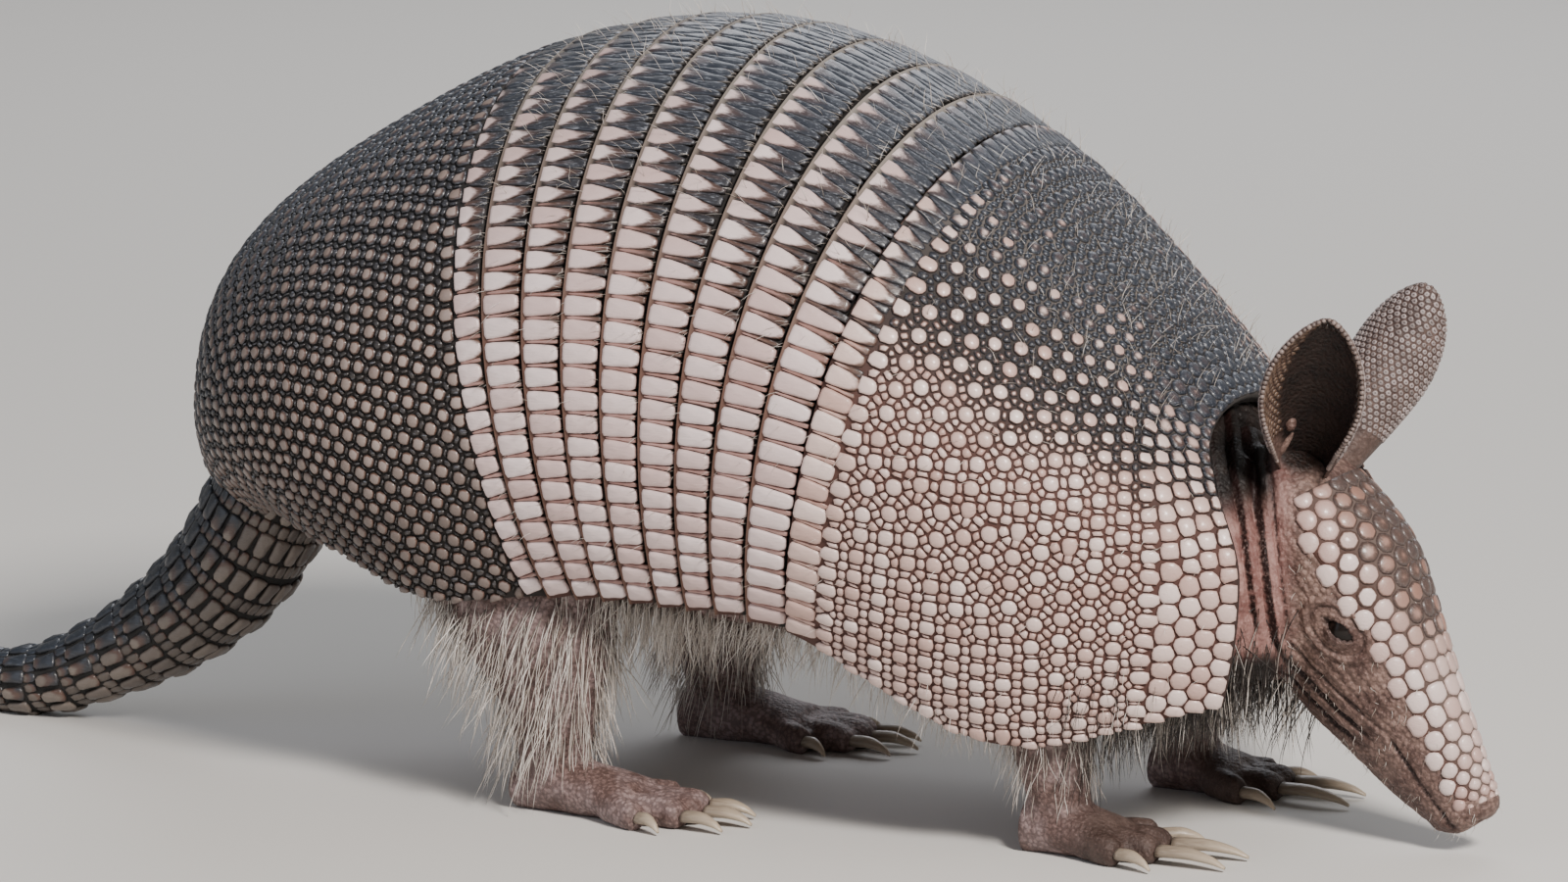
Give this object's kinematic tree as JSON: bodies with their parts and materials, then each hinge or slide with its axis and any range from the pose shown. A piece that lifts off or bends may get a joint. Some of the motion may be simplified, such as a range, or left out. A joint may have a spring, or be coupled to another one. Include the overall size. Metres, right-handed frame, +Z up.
{
  "type": "armadillo",
  "caption": "Life-size long-nosed armadillo standing with its head lowered to the ground, with domed shields, jointed-looking back bands, cupped ears and a long ringed tail.",
  "frame": {"origin": "centre of the bounding box's footprint, at floor level under the soles", "axes": "+X towards the nose, +Y to the animal's left, +Z up"},
  "size_m": [0.6332, 0.1802, 0.2064],
  "materials": {
    "shield_plate": "horny scutes, dark slate to pinkish beige, slight sheen",
    "band_plate": "horny scutes, pale with dark wedges, slight sheen",
    "head_plate": "horny scutes, satin",
    "tail_plate": "ringed horny scutes, matte",
    "skin": "wrinkled bare skin with sparse pale hair",
    "eye": "wet and glossy",
    "claw": "smooth horn"
  },
  "bodies": {
    "root": {"shoulder_shield": "shield_plate", "hip_shield": "shield_plate", "band_1": "band_plate", "band_2": "band_plate", "band_3": "band_plate", "band_4": "band_plate", "band_5": "band_plate", "band_6": "band_plate", "band_7": "band_plate", "band_8": "band_plate", "trunk": "skin", "neck": "skin", "head": "skin", "ear_left": "skin", "ear_right": "skin", "hind_leg_left": "skin", "hind_leg_right": "skin", "hind_foot_left": "skin", "hind_foot_right": "skin", "fore_leg_left": "skin", "fore_leg_right": "skin", "fore_foot_left": "skin", "fore_foot_right": "skin", "head_shield": "head_plate", "eye_left": "eye", "eye_right": "eye", "tail_1": "tail_plate", "tail_2": "tail_plate", "tail_3": "tail_plate", "tail_4": "tail_plate", "tail_5": "tail_plate", "tail_6": "tail_plate", "tail_7": "tail_plate", "hind_claw_1_left": "claw", "hind_claw_1_right": "claw", "hind_claw_2_left": "claw", "hind_claw_2_right": "claw", "hind_claw_3_left": "claw", "hind_claw_3_right": "claw", "hind_claw_4_left": "claw", "hind_claw_4_right": "claw", "hind_claw_5_left": "claw", "hind_claw_5_right": "claw", "fore_claw_1_left": "claw", "fore_claw_1_right": "claw", "fore_claw_2_left": "claw", "fore_claw_2_right": "claw", "fore_claw_3_left": "claw", "fore_claw_3_right": "claw", "fore_claw_4_left": "claw", "fore_claw_4_right": "claw"}
  },
  "joints": []
}
